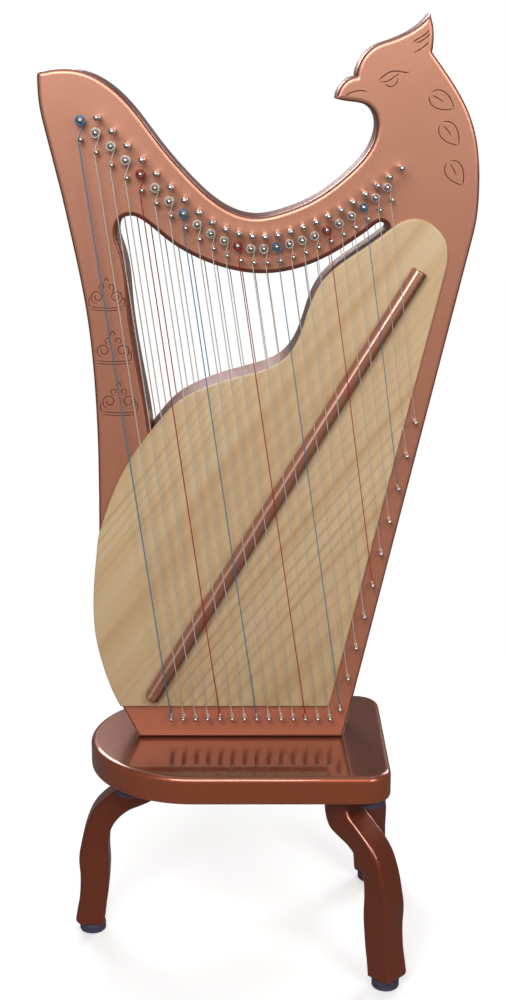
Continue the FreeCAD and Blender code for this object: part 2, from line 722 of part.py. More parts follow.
def bolts():
    """Two bolts up through the board into the harp, and a stud between the board and each leg."""
    things = []
    for number, x in enumerate(HARP_BOLT_PLACES, 1):
        place = (x, size("harp_setback"))
        head = upright(f"HarpBoltHead{number}", place, "Dimensions.bolt_head_diameter / 2",
                       "Dimensions.bolt_head_height", "Dimensions.board_underside")
        shank = upright(f"HarpBoltShank{number}", place, "Dimensions.bolt_diameter / 2",
                        "Dimensions.board_thickness + Dimensions.bolt_engagement",
                        "Dimensions.board_underside")
        bolt = doc.addObject("Part::Fuse", f"HarpBolt{number}")
        bolt.Base, bolt.Tool = head, shank
        things.append(bolt)
    for foot in leg_places():
        things.append(upright(f"{foot[0]}Stud", leg_bolt_place(foot), "Dimensions.bolt_diameter / 2",
                              "Dimensions.bolt_engagement + Dimensions.stud_rise",
                              "Dimensions.board_underside - Dimensions.bolt_engagement"))
    return subpart(group("Bolts", things), "bolts")


# ---------------------------------------------------------------- the whole harp
harp_frame()
soundbox_rib()
soundbox_braces()
soundboard("Front")
soundboard("Back")
subpart(group("Bridges", [bridge("Front"), bridge("Back")]), "bridges")
for number in range(1, STRINGS + 1):
    tuning_pin("Front", number, TUNING[number - 1])
    tuning_pin("Back", number, UPPER[number - 1])
string_posts()
strings()
base_board()
subpart(group("Legs", [leg(*place) for place in leg_places()]), "legs")
rubber_feet()
bolts()
doc.recompute()

faults = [thing.Name for thing in doc.Objects if {"Invalid", "Error"} & set(thing.State)]
if faults:
    raise RuntimeError(f"not built: {faults}")
for pocket in doc.findObjects("PartDesign::Pocket"):
    if pocket.Shape.Volume > pocket.BaseFeature.Shape.Volume - LEAST_CUT:
        raise RuntimeError(f"{pocket.Name} cuts nothing")
for thing in SUBPARTS:
    if thing.Shape.isNull() or not thing.Shape.isValid():
        raise RuntimeError(f"{thing.Label} has no valid shape")

os.makedirs("parts", exist_ok=True)
for thing in SUBPARTS:
    thing.Shape.exportStep(f"parts/{thing.Label}.step")
print(len(SUBPARTS), "sub-parts written")
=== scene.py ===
"""A small bird-headed harp, strung on both faces, on a D-shaped board with three curved legs."""
import json
import math

import bmesh
import bpy
import numpy as np
from mathutils import Matrix, Vector
from mathutils.geometry import delaunay_2d_cdt


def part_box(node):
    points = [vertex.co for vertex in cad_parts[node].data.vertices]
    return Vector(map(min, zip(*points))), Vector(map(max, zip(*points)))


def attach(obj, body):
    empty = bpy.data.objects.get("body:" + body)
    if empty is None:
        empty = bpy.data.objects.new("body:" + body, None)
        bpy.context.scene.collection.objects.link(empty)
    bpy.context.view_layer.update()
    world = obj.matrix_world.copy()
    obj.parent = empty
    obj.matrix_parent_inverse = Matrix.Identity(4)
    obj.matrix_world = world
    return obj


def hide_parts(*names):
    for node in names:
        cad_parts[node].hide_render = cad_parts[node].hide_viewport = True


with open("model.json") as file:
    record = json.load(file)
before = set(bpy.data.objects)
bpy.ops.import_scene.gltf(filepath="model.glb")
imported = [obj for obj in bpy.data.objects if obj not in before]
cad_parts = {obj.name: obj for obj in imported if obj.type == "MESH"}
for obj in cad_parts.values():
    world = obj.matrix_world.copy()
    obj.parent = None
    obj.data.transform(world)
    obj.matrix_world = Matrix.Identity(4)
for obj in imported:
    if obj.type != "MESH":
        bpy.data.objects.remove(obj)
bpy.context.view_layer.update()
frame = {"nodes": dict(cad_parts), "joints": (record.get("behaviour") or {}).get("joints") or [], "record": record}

MM = 0.001
HARP = "harp"


# ---------------------------------------------------------------- finishes
class Value:
    """A number or colour that varies over a surface, which Python's operators work on."""

    def __init__(self, finish, socket):
        self.finish = finish
        self.socket = socket

    def math(self, operation, first, second):
        return self.finish.node("ShaderNodeMath", {"operation": operation}, [first, second])

    def __add__(self, other):
        return self.math("ADD", self, other)

    def __sub__(self, other):
        return self.math("SUBTRACT", self, other)

    def __rsub__(self, other):
        return self.math("SUBTRACT", other, self)

    def __mul__(self, other):
        return self.math("MULTIPLY", self, other)

    def __pow__(self, other):
        return self.math("POWER", self, other)

    __radd__ = __add__
    __rmul__ = __mul__


class Finish:
    """A material whose shader takes plain numbers, or values worked out over the surface."""

    def __init__(self, name, **plain):
        self.material = bpy.data.materials.new(name)
        self.material.use_nodes = True
        self.tree = self.material.node_tree
        self.shader = self.tree.nodes["Principled BSDF"]
        self.give(**plain)

    def feed(self, node, sockets):
        pairs = sockets.items() if isinstance(sockets, dict) else enumerate(sockets)
        for key, value in pairs:
            if isinstance(value, Value):
                self.tree.links.new(value.socket, node.inputs[key])
            else:
                node.inputs[key].default_value = value

    def node(self, kind, settings=None, sockets=(), result=0):
        """A node of any kind: its settings come first, then its sockets' values or links."""
        node = self.tree.nodes.new(kind)
        for name, value in (settings or {}).items():
            if name == "stops":
                ramp = node.color_ramp.elements
                for place, colour in value[2:]:
                    ramp.new(place)
                for stop, (place, colour) in zip(ramp, value):
                    stop.position = place
                    stop.color = colour
            else:
                setattr(node, name, value)
        self.feed(node, sockets)
        return Value(self, node.outputs[result])

    def give(self, **sockets):
        """Set the shader's own sockets: Base_Color, Roughness and so on."""
        self.feed(self.shader, {name.replace("_", " "): value for name, value in sockets.items()})

    def place(self):
        return self.node("ShaderNodeTexCoord", result="Object")

    def along(self, direction):
        """How far a point lies along a direction, in metres."""
        return self.node("ShaderNodeVectorMath", {"operation": "DOT_PRODUCT"},
                         [self.place(), direction], "Value")

    def join(self, x, y, z):
        return self.node("ShaderNodeCombineXYZ", {}, [x, y, z])

    def noise(self, vector, scale, detail=2, roughness=0.5):
        return self.node("ShaderNodeTexNoise", {},
                         {"Vector": vector, "Scale": scale, "Detail": detail, "Roughness": roughness})

    def ramp(self, value, *stops):
        return self.node("ShaderNodeValToRGB", {"stops": stops}, [value])

    def mask(self, value, low, high):
        """0 below the low value and 1 above the high one."""
        return self.node("ShaderNodeMapRange", {"clamp": True}, [value, low, high, 0, 1])

    def mix(self, share, first, second, blend="MIX"):
        settings = {"data_type": "RGBA", "blend_type": blend}
        return self.node("ShaderNodeMix", settings, {0: share, 6: first, 7: second}, 2)

    def bump(self, height, distance):
        """Raise the surface by a height of 0 to 1, times a distance in metres."""
        self.give(Normal=self.node("ShaderNodeBump", {}, {"Height": height, "Distance": distance}))


def paint(red, green, blue):
    """A colour as a paint chart gives it, 0 to 255, as the shader takes it."""
    return (*[((c / 255 + 0.055) / 1.055) ** 2.4 for c in (red, green, blue)], 1)


FLAKE_SCALE = 1500
BOARD_TOP_SHADE_FADE = (0.265, 0.2683)
UPRIGHT = (0, 0, 1)


def copper_paint():
    """Satin metallic copper under clear lacquer, with flake and a faint ripple; a painted sheen makes it paler
    towards the head.
    """
    finish = Finish("copper_paint", Metallic=0.6, Coat_Weight=0.6, Coat_Roughness=0.3)
    place = finish.place()
    height = finish.along(UPRIGHT)
    clouds = finish.noise(place, 9, 3)
    flakes = finish.noise(place, FLAKE_SCALE, 1)
    # painted sheen: the high tone is paler and greyer, for the lacquer's sheen towards the head
    low = finish.mix(clouds, paint(208, 127, 95), paint(218, 139, 107))
    high = finish.mix(clouds, paint(193, 130, 104), paint(202, 139, 113))
    tone = finish.mix(finish.mask(height, 0.3, 1.0), low, high)
    sparkle = finish.mask(flakes, 0.56, 0.74)
    finish.give(Base_Color=finish.mix(sparkle * 0.2, tone, paint(246, 200, 172)),
                Roughness=0.34 + flakes * 0.1)
    ripple = finish.noise(place, 260, 2)
    finish.bump(ripple * 0.8 + flakes * 0.2, 0.00003)
    return finish.material


def engraving_paint():
    """The same paint where it lies thick and dull in a cut line."""
    finish = Finish("engraving_paint", Metallic=0.3, Roughness=0.5)
    depth = finish.noise(finish.place(), 700, 2)
    finish.give(Base_Color=finish.mix(depth, paint(92, 48, 40), paint(126, 70, 58)))
    finish.bump(depth, 0.0001)
    return finish.material


def edge_shade_paint():
    """Deeper, glossier copper: painted shade along the edges, on the sides and inside the opening."""
    finish = Finish("edge_shade_paint", Metallic=0.55, Coat_Weight=0.7, Coat_Roughness=0.24)
    place = finish.place()
    clouds = finish.noise(place, 12, 3)
    flakes = finish.noise(place, FLAKE_SCALE, 1)
    finish.give(Base_Color=finish.mix(clouds, paint(124, 67, 51), paint(144, 81, 63)),
                Roughness=0.3 + flakes * 0.1)
    finish.bump(finish.noise(place, 200, 2), 0.00003)
    return finish.material


def glossy_lacquer(name, dark, light, top=None):
    """Brown-copper metallic lacquer, polished to a deep gloss; the board's top is a shade deeper, a painted shade.
    """
    finish = Finish(name, Metallic=0.6, Coat_Weight=1.0, Coat_Roughness=0.035)
    place = finish.place()
    clouds = finish.noise(place, 7, 3)
    flakes = finish.noise(place, FLAKE_SCALE, 1)
    tone = finish.mix(clouds, dark, light)
    # painted shade: the top takes a darker tone than the edges
    if top:
        tone = finish.mix(finish.mask(finish.along(UPRIGHT), *BOARD_TOP_SHADE_FADE), tone, top)
    finish.give(Base_Color=finish.mix(finish.mask(flakes, 0.56, 0.76) * 0.2, tone, paint(204, 130, 98)),
                Roughness=0.3 + flakes * 0.1)
    finish.bump(finish.noise(place, 120, 2), 0.00004)
    return finish.material


def bridge_lacquer(over, middle):
    """The same lacquer on a bar, with a painted highlight along its upper edge and painted shade along its lower
    one.
    """
    finish = Finish("bridge_lacquer", Metallic=0.5, Coat_Weight=0.5, Coat_Roughness=0.2)
    place = finish.place()
    flakes = finish.noise(place, FLAKE_SCALE, 1)
    wobble = finish.noise(place, 26, 3)
    across = finish.along(over) - middle + (wobble - 0.5) * 0.0016
    half = BRIDGE_WIDTH / 2 * MM
    # painted highlight and shade across the bar: dark along the lower edge, a bright band along the upper chamfer
    tone = finish.ramp(finish.mask(across, -half, half),
                       (0.05, paint(104, 60, 44)), (0.24, paint(150, 98, 76)),
                       (0.62, paint(166, 110, 86)),
                       (0.69, paint(226, 176, 154)), (0.76, paint(222, 170, 148)),
                       (0.83, paint(186, 128, 106)), (1.0, paint(168, 110, 90)))
    finish.give(Base_Color=finish.mix(finish.mask(flakes, 0.56, 0.76) * 0.2, tone, paint(232, 178, 150)),
                Roughness=0.3 + wobble * 0.12)
    finish.bump(finish.noise(place, 120, 2), 0.00004)
    return finish.material


GRAIN_SLANT = math.radians(52)


def soundboard_wood():
    """Pale slanting wood: broad bands, thin brown growth lines in drifts, and fine pores, under varnish."""
    finish = Finish("soundboard_wood", Coat_Weight=0.3, Coat_Roughness=0.25, Specular_IOR_Level=0.4)
    grain = (math.cos(GRAIN_SLANT), 0, math.sin(GRAIN_SLANT))
    over = (-math.sin(GRAIN_SLANT), 0, math.cos(GRAIN_SLANT))
    length, width, depth = finish.along(grain), finish.along(over), finish.along((0, 1, 0))
    wander = finish.noise(finish.join(length * 2.4, width * 4, depth), 1, 2) - 0.5
    waved = width + wander * 0.016
    bands = finish.noise(finish.join(length * 0.9, waved * 30, depth * 4), 1, 2, 0.5)
    crowding = finish.noise(finish.join(length * 0.6 + 5, waved * 26, depth * 4), 1, 2)
    rings = finish.node("ShaderNodeMath", {"operation": "SINE"}, [waved * 520 + crowding * 24])
    lines = (rings * 0.5 + 0.5) ** 5
    drifts = finish.noise(finish.join(length * 3.2, width * 9, depth + 3), 1, 2)
    pores = finish.noise(finish.join(length * 45, waved * 1500, depth * 60), 1, 2, 0.6)
    base = finish.ramp(bands, (0.3, paint(190, 156, 115)), (0.5, paint(204, 176, 137)),
                       (0.7, paint(209, 184, 148)))
    height = finish.along(UPRIGHT)
    lowered = 1 - finish.mask(height, 0.5, 0.9) * 0.6
    brown = lines * (finish.mask(drifts, 0.38, 0.66) * 0.4 + 0.06) * lowered
    lined = finish.mix(brown, base, paint(168, 118, 72))
    # darker and warmer towards the bottom
    darker_low = finish.mix(finish.mask(height, 0.35, 0.85), paint(244, 239, 233), paint(255, 255, 255))
    pored = finish.mix(finish.mask(pores, 0.52, 0.78) * 0.14, lined, paint(160, 118, 76))
    finish.give(Base_Color=finish.mix(1.0, pored, darker_low, "MULTIPLY"),
                Roughness=0.42 + pores * 0.12)
    finish.bump(pores, 0.00003)
    return finish.material


def bare_softwood():
    """Unpainted wood inside the sound box."""
    finish = Finish("bare_softwood", Roughness=0.7)
    place = finish.place()
    stretched = finish.join(finish.along((1, 0, 0)) * 8, finish.along((0, 1, 0)) * 200,
                            finish.along(UPRIGHT) * 30)
    grain = finish.noise(stretched, 1, 3)
    finish.give(Base_Color=finish.mix(grain, paint(196, 164, 120), paint(222, 194, 150)))
    finish.bump(finish.noise(place, 900, 2), 0.00005)
    return finish.material


def bright_metal(name, colour, roughness):
    """Plated metal with the faint scuffs of handling."""
    finish = Finish(name, Metallic=1.0)
    place = finish.place()
    scuffs = finish.noise(place, 900, 3, 0.65)
    finish.give(Base_Color=finish.mix(scuffs * 0.4, colour, paint(120, 112, 106)),
                Roughness=roughness + scuffs * 0.16)
    finish.bump(scuffs, 0.00002)
    return finish.material


def string_cord(name, colour, shade, metallic):
    """A string with a fine close winding along it."""
    finish = Finish(name, Metallic=metallic, Specular_IOR_Level=0.6)
    winding = finish.noise(finish.place(), 2600, 1)
    finish.give(Base_Color=finish.mix(winding, colour, shade), Roughness=0.3 + winding * 0.15)
    finish.bump(winding, 0.00005)
    return finish.material


def rubber():
    """Dull violet-black rubber with a moulded grain."""
    finish = Finish("rubber", Specular_IOR_Level=0.35)
    grain = finish.noise(finish.place(), 800, 3)
    finish.give(Base_Color=finish.mix(grain, paint(50, 44, 62), paint(78, 70, 92)),
                Roughness=0.55 + grain * 0.2)
    finish.bump(grain, 0.00012)
    return finish.material


COPPER = copper_paint()
ENGRAVING = engraving_paint()
# painted shade for the outer half of the rounded edges, the sides and the opening
EDGE_SHADE = edge_shade_paint()
# the third colour is the painted shade on the board's top
BOARD_LACQUER = glossy_lacquer("board_lacquer", paint(162, 80, 49), paint(174, 90, 57), paint(116, 62, 44))
# painted shade: the legs take a darker copy of the board's lacquer, for the shade under the board
SHADED_LEG_LACQUER = glossy_lacquer("shaded_leg_lacquer", paint(124, 54, 30), paint(136, 62, 36))
SPRUCE = soundboard_wood()
SOFTWOOD = bare_softwood()
PIN_METAL = bright_metal("pin_metal", paint(228, 224, 220), 0.2)
POST_METAL = bright_metal("post_metal", paint(236, 232, 226), 0.22)
BOLT_METAL = bright_metal("bolt_metal", paint(190, 190, 188), 0.3)
PALE_STRING = string_cord("pale_string", paint(218, 213, 202), paint(186, 180, 170), 0.35)
RED_STRING = string_cord("red_string", paint(176, 24, 34), paint(130, 16, 26), 0.0)
BLUE_STRING = string_cord("blue_string", paint(44, 130, 166), paint(40, 100, 134), 0.0)
RUBBER = rubber()


# ---------------------------------------------------------------- meshes
class Surface:
    """Points and faces gathered into one mesh, each face with the number of its finish."""

    def __init__(self):
        self.points = []
        self.faces = []
        self.finishes = []

    def add(self, points, faces, finish=0):
        start = len(self.points)
        self.points.extend(tuple(p) for p in points)
        self.face(start, faces, finish)
        return start

    def face(self, start, faces, finish):
        self.faces.extend(tuple(start + i for i in face) for face in faces)
        self.finishes.extend([finish] * len(faces))

    def piece(self, name, finishes, body, slot, replaced=(), crease=35):
        """Make the mesh a piece, in metres, that rides on a body and stands for some solids."""
        mesh = bpy.data.meshes.new(name)
        mesh.from_pydata([Vector(p) * MM for p in self.points], [], self.faces)
        for finish in finishes:
            mesh.materials.append(finish)
        mesh.polygons.foreach_set("material_index", self.finishes)
        work = bmesh.new()
        work.from_mesh(mesh)
        bmesh.ops.remove_doubles(work, verts=work.verts, dist=1e-7)
        bmesh.ops.recalc_face_normals(work, faces=work.faces)
        work.to_mesh(mesh)
        work.free()
        mesh.shade_smooth()
        mesh.set_sharp_from_angle(angle=math.radians(crease))
        thing = bpy.data.objects.new(name, mesh)
        bpy.context.scene.collection.objects.link(thing)
        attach(thing, body)
        if replaced:
            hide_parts(*replaced)
        return thing


def unit(vectors):
    """The same vectors, each with a length of one."""
    return vectors / np.maximum(np.linalg.norm(vectors, axis=-1, keepdims=True), 1e-12)


def box_mm(node):
    """A solid's lowest and highest corners, in millimetres."""
    low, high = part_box(node)
    return np.array(low) / MM, np.array(high) / MM


def solid_mesh(node):
    """A solid's own mesh with its doubled points joined, in millimetres."""
    work = bmesh.new()
    work.from_mesh(frame["nodes"][node].data)
    bmesh.ops.scale(work, vec=(1 / MM,) * 3, verts=work.verts)
    bmesh.ops.remove_doubles(work, verts=work.verts, dist=1e-3)
    return work


def face_loops(node, axis, level):
    """A solid's flat face at one level of an axis: its edges as loops of the other axes, longest first."""
    work = solid_mesh(node)
    flat = [f for f in work.faces if all(abs(v.co[axis] - level) < 1e-2 for v in f.verts)]
    count = {}
    for face in flat:
        for edge in face.edges:
            count[edge] = count.get(edge, 0) + 1
    links = {}
    for edge, uses in count.items():
        if uses == 1:
            a, b = edge.verts
            links.setdefault(a, []).append(b)
            links.setdefault(b, []).append(a)
    others = [i for i in range(3) if i != axis]
    loops = []
    while links:
        start = here = next(iter(links))
        loop = []
        while here in links:
            loop.append([here.co[i] for i in others])
            nexts = links.pop(here)
            here = next((v for v in nexts if v in links), start)
        loops.append(np.array(loop))
    work.free()
    return sorted(loops, key=lambda loop: -np.ptp(loop, axis=0).sum())


def lumps(node):
    """The lowest and highest corners of each separate lump of a solid, in millimetres."""
    work = solid_mesh(node)
    left = set(work.verts)
    boxes = []
    while left:
        heap, lump = [left.pop()], []
        while heap:
            here = heap.pop()
            lump.append(here.co[:])
            for edge in here.link_edges:
                other = edge.other_vert(here)
                if other in left:
                    left.remove(other)
                    heap.append(other)
        lump = np.array(lump)
        boxes.append((lump.min(0), lump.max(0)))
    work.free()
    return boxes


def turned(loop, clockwise=False):
    """The loop, turned to run anticlockwise, or clockwise for a hole."""
    x, y = loop[:, 0], loop[:, 1]
    area = (x * np.roll(y, -1) - y * np.roll(x, -1)).sum()
    return loop[::-1] if (area < 0) != clockwise else loop


def finer(loop, longest=40, corner=24):
    """A closed loop with points added on the smooth curve through its own; straights and corners stay."""
    run = np.roll(loop, -1, 0) - loop
    length = np.linalg.norm(run, axis=1)
    ahead = unit(run)
    back, back_length = np.roll(ahead, 1, 0), np.roll(length, 1)
    tangent = unit(ahead * back_length[:, None] + back * length[:, None])
    tangent[length > longest] = ahead[length > longest]
    tangent[back_length > longest] = back[back_length > longest]
    sharp = (ahead * back).sum(1) < math.cos(math.radians(corner))
    leave = np.where(sharp[:, None], ahead, tangent)
    arrive = np.roll(np.where(sharp[:, None], back, tangent), -1, 0)
    middle = (loop + np.roll(loop, -1, 0)) / 2 + length[:, None] / 8 * (leave - arrive)
    points = []
    for i in range(len(loop)):
        points.append(loop[i])
        if 1.5 < length[i] < longest:
            points.append(middle[i])
    return np.array(points)


def through(points, per_span=6):
    """A smooth open path through the points."""
    points = np.array(points, float)
    ends = np.vstack([2 * points[0] - points[1], points, 2 * points[-1] - points[-2]])
    path = []
    for i in range(1, len(ends) - 2):
        p0, p1, p2, p3 = ends[i - 1:i + 3]
        span = np.linalg.norm(p2 - p1)
        start = (p2 - p0) / (np.linalg.norm(p2 - p1) + np.linalg.norm(p1 - p0)) * span
        finish = (p3 - p1) / (np.linalg.norm(p3 - p2) + span) * span
        for t in np.arange(per_span) / per_span:
            path.append((2 * t**3 - 3 * t**2 + 1) * p1 + (t**3 - 2 * t**2 + t) * start
                        + (3 * t**2 - 2 * t**3) * p2 + (t**3 - t**2) * finish)
    path.append(points[-1])
    return np.array(path)


def ways_in(loop):
    """For each point of a loop, the way into the material, long enough to move both of its edges by one."""
    ahead = unit(np.roll(loop, -1, 0) - loop)
    back = np.roll(ahead, 1, 0)
    left_ahead = np.stack([-ahead[:, 1], ahead[:, 0]], 1)
    left_back = np.stack([-back[:, 1], back[:, 0]], 1)
    middle = unit(left_ahead + left_back)
    return middle / np.maximum((middle * left_back).sum(1), 0.55)[:, None]


def gaps(points, starts, ends):
    """Each point's distance from the nearest of the edges."""
    run = ends - starts
    off = points[:, None] - starts[None]
    share = np.clip((off * run).sum(2) / np.maximum((run * run).sum(1), 1e-12), 0, 1)
    return np.linalg.norm(off - share[..., None] * run, axis=2).min(1)


def room(loop, ways, edges, radius):
    """How far each point can move in without coming nearer to an edge than it has moved."""
    reach = np.zeros(len(loop))
    free = np.ones(len(loop), bool)
    for step in np.linspace(0.1, 1, 10) * radius:
        free &= gaps(loop + ways * step, *edges) > 0.9 * step
        reach[free] = step
    for _ in range(3):
        reach = np.minimum(reach, (np.roll(reach, 1) + np.roll(reach, -1) + reach) / 3)
    return reach


def filled(loops):
    """Triangles that fill the first loop and leave the others open."""
    points = np.vstack(loops)
    edges, first = [], 0
    for loop in loops:
        edges += [(first + i, first + (i + 1) % len(loop)) for i in range(len(loop))]
        first += len(loop)
    places, _, faces, *_ = delaunay_2d_cdt([Vector(p) for p in points], edges, [], 1, 1e-6)
    places = np.array(places)
    middles = places[np.array(faces)].mean(1)
    starts, ends = points[[a for a, _ in edges]], points[[b for _, b in edges]]
    spans = (starts[:, 1] > middles[:, None, 1]) != (ends[:, 1] > middles[:, None, 1])
    rise = np.where(ends[:, 1] == starts[:, 1], 1, ends[:, 1] - starts[:, 1])
    meets = starts[:, 0] + (middles[:, None, 1] - starts[:, 1]) * (ends[:, 0] - starts[:, 0]) / rise
    inside = (spans & (meets > middles[:, None, 0])).sum(1) % 2 == 1
    return places, [face for face, keep in zip(faces, inside) if keep]


ENGRAVING_DEPTH = 0.7


def ring_faces(size, rows):
    """The quads between rings of points, each ring closed and of the same size."""
    return [(k * size + i, k * size + (i + 1) % size, (k + 1) * size + (i + 1) % size, (k + 1) * size + i)
            for k in rows for i in range(size)]


def end_faces(size, rows):
    """The two faces that close the first and the last ring."""
    last = (rows - 1) * size
    return [tuple(range(size))[::-1], tuple(range(last, last + size))]


def rounded_slab(surface, outer, holes, matrix, thickness, front_round, back_round, strokes=(), steps=5,
                 shaded_edge_finish=0):
    """A slab with its long edges rounded, cut to an outline, with engraved strokes on both faces.

    The matrix puts it in place: x and y along the front face, and z into the slab. The shaded edge finish, a
    painted shade, takes the side and the outer half of its rounding, and all of the rounding round a hole."""
    outline = [turned(outer)] + [turned(hole, True) for hole in holes]
    starts = np.vstack(outline)
    edges = (starts, np.vstack([np.roll(loop, -1, 0) for loop in outline]))

    def rings(radius):
        """From the side to the face: how far in, as a share of the room there, and how deep."""
        turns = [math.pi / 2 * k / steps for k in range(steps + 1)]
        quarter = [(1 - math.cos(a), radius * (1 - math.sin(a))) for a in turns]
        return [(0, radius + 0.5)] + quarter + [(1.15, 0)] if radius else [(0, 0)]

    levels = [(share, depth, front_round) for share, depth in reversed(rings(front_round))]
    levels += [(share, thickness - depth, back_round) for share, depth in rings(back_round)]
    caps = {0: [], len(levels) - 1: []}
    for loop in outline:
        ways = ways_in(loop)
        reaches = {r: room(loop, ways, edges, r) if r else None for r in {front_round, back_round}}
        points = []
        for number, (share, depth, radius) in enumerate(levels):
            flat = loop + ways * (reaches[radius] * share)[:, None] if radius else loop
            if number in caps:
                caps[number].append(flat)
            points += [matrix @ Vector((x, y, depth)) for x, y in flat]
        size = len(loop)
        rows = {}
        # the outer part of each rounding, and all of the rounding round a hole, takes the painted shade
        shaded = 0.45 if loop is outline[0] else 1
        for k in range(len(levels) - 1):
            outermost = max(levels[k][0], levels[k + 1][0]) <= shaded
            rows.setdefault(shaded_edge_finish if outermost else 0, []).extend(ring_faces(size, [k]))
        start = surface.add(points, [])
        for finish, faces in rows.items():
            surface.face(start, faces, finish)
    for number, depth, inward in ((0, 0, 1), (len(levels) - 1, thickness, -1)):
        ribbons = [stroke_ribbon(*stroke) for stroke in strokes]
        loops = caps[number] + [np.vstack([left, right[::-1]]) for left, right, _ in ribbons]
        places, faces = filled(loops)
        surface.add([matrix @ Vector((x, y, depth)) for x, y in places], faces)
        for left, right, bottom in ribbons:
            rows = [(left, depth), (bottom, depth + inward * ENGRAVING_DEPTH), (right, depth)]
            points = [matrix @ Vector((x, y, z)) for row, z in rows for x, y in row]
            size = len(left)
            faces = [(k * size + i, k * size + i + 1, (k + 1) * size + i + 1, (k + 1) * size + i)
                     for k in range(2) for i in range(size - 1)]
            surface.add(points, faces, 1)


def stroke_ribbon(points, width):
    """An engraved stroke's two edges and its bottom line, tapered at both ends."""
    path = through(points)
    run = np.gradient(path, axis=0)
    side = unit(np.stack([-run[:, 1], run[:, 0]], 1))
    share = np.linspace(0, 1, len(path))
    half = width / 2 * np.clip(np.minimum(share, 1 - share) * 6 + 0.25, 0, 1)
    return path + side * half[:, None], path - side * half[:, None], path


def lofted(surface, rings, sides, matrix):
    """A bar of rings, each with a height, a half-width and a power: 2 for round and more for square."""
    angles = [2 * math.pi * i / sides for i in range(sides)]
    points = []
    for height, half, power in rings:
        for a in angles:
            reach = half * (abs(math.cos(a)) ** power + abs(math.sin(a)) ** power) ** (-1 / power)
            points.append(matrix @ Vector((reach * math.cos(a), reach * math.sin(a), height)))
    surface.add(points, ring_faces(sides, range(len(rings) - 1)) + end_faces(sides, len(rings)))


def turned_bar(surface, profile, sides, matrix):
    """A round bar: its profile is a height and a radius at each ring."""
    lofted(surface, [(height, half, 2) for height, half in profile], sides, matrix)


def tube(surface, path, radius, sides=8):
    """A round cord along a path of points in millimetres."""
    path = [Vector(p) for p in path]
    runs = [(b - a).normalized() for a, b in zip(path, path[1:])]
    directions = [runs[0]] + [(a + b).normalized() for a, b in zip(runs, runs[1:])] + [runs[-1]]
    side = directions[0].orthogonal().normalized()
    points = []
    for place, direction in zip(path, directions):
        side = (side - direction * side.dot(direction)).normalized()
        other = direction.cross(side)
        for i in range(sides):
            a = 2 * math.pi * i / sides
            points.append(place + (side * math.cos(a) + other * math.sin(a)) * radius)
    surface.add(points, ring_faces(sides, range(len(path) - 1)) + end_faces(sides, len(path)))


# ---------------------------------------------------------------- where things are
FRAME_LOW, FRAME_HIGH = box_mm("harp_frame")
FRONT_FACE, BACK_FACE = FRAME_LOW[1], FRAME_HIGH[1]


def out_from(side, x, reach, z):
    """A point in front of the frame's front face, or behind its back face, by a reach."""
    return Vector((x, FRONT_FACE - reach if side == "front" else BACK_FACE + reach, z))


def standing_out(side, x, z):
    """A matrix whose z axis stands out from a face of the frame."""
    turn = Matrix.Rotation(math.radians(90 if side == "front" else -90), 4, "X")
    return Matrix.Translation(out_from(side, x, 0, z)) @ turn


FACE_ON = Matrix(((1, 0, 0, 0), (0, 0, 1, 0), (0, 1, 0, 0), (0, 0, 0, 1)))

# ---------------------------------------------------------------- frame, with its engraving
# Each stroke is the points it runs through and its width; each leaf or scroll is its middle and its size.
EYE_LINES = [
    ([(130.5, 1052.4), (135.4, 1056.6), (141.6, 1060.7), (147.9, 1062.3), (154.2, 1062),
      (160.6, 1060.9), (165, 1061.4)], 1.3),
    ([(133, 1050.7), (136.5, 1050.9), (140.6, 1051.6), (144.9, 1053.8), (149.6, 1057.4),
      (153.8, 1059.2)], 1.1),
    ([(137.5, 1048.9), (139.8, 1047.2), (144.3, 1045.6), (148.6, 1047.2), (151.2, 1050.6),
      (152.2, 1055)], 1.1),
]
BEAK_LINE = ([(94.5, 1035.6), (98.4, 1038.4), (104.1, 1040.6), (112, 1041.6), (118.4, 1040.1)], 1.2)
CREST_LINES = [
    ([(167.3, 1093), (173.8, 1096.9), (181.2, 1101.6), (185.6, 1106)], 1.4),
    ([(171.5, 1091.9), (176.4, 1094), (183.1, 1098.6), (186.6, 1102.4)], 1.2),
    ([(168.7, 1081.7), (175.7, 1085.5), (181.4, 1089.6), (185.6, 1094)], 1.2),
]
LEAVES = [((201.3, 1030.4), 33, -30), ((211.5, 994.8), 33, -51), ((218.9, 952), 33, -58)]
SCROLLS = [((-175.5, 813), 19.5), ((-169.5, 751), 20), ((-164, 691), 20.5)]
FRAME_ROUNDING, SOUNDBOARD_ROUNDING = 5, 1.8


def leaf_strokes(centre, length, tilt):
    """A plain pointed leaf: two curved edges and a rib."""
    turn = math.radians(tilt)
    half = length / 2

    def put(along, over):
        return (centre[0] + along * math.cos(turn) - over * math.sin(turn),
                centre[1] + along * math.sin(turn) + over * math.cos(turn))

    shares = [-0.92, -0.7, -0.35, 0.05, 0.45, 0.75, 0.95]
    rise = [0.12, 0.42, 0.58, 0.56, 0.4, 0.2, 0.04]
    edges = [[put(half * s, way * half * r) for s, r in zip(shares, rise)] for way in (1, -1)]
    rib = [put(-half * 0.72, 0), put(-half * 0.3, 0.4), put(half * 0.15, 0)]
    return [(edge, 1.1) for edge in edges] + [(rib, 1.1)]


def volute(middle, size, way, turns=14):
    """A spiral that winds in towards its middle."""
    spiral = []
    for k in range(turns + 1):
        turn = math.radians(-90 + 36 * k)
        reach = size * (1 - k / (turns + 5))
        spiral.append((middle[0] + way * reach * math.cos(turn), middle[1] + reach * math.sin(turn)))
    return spiral


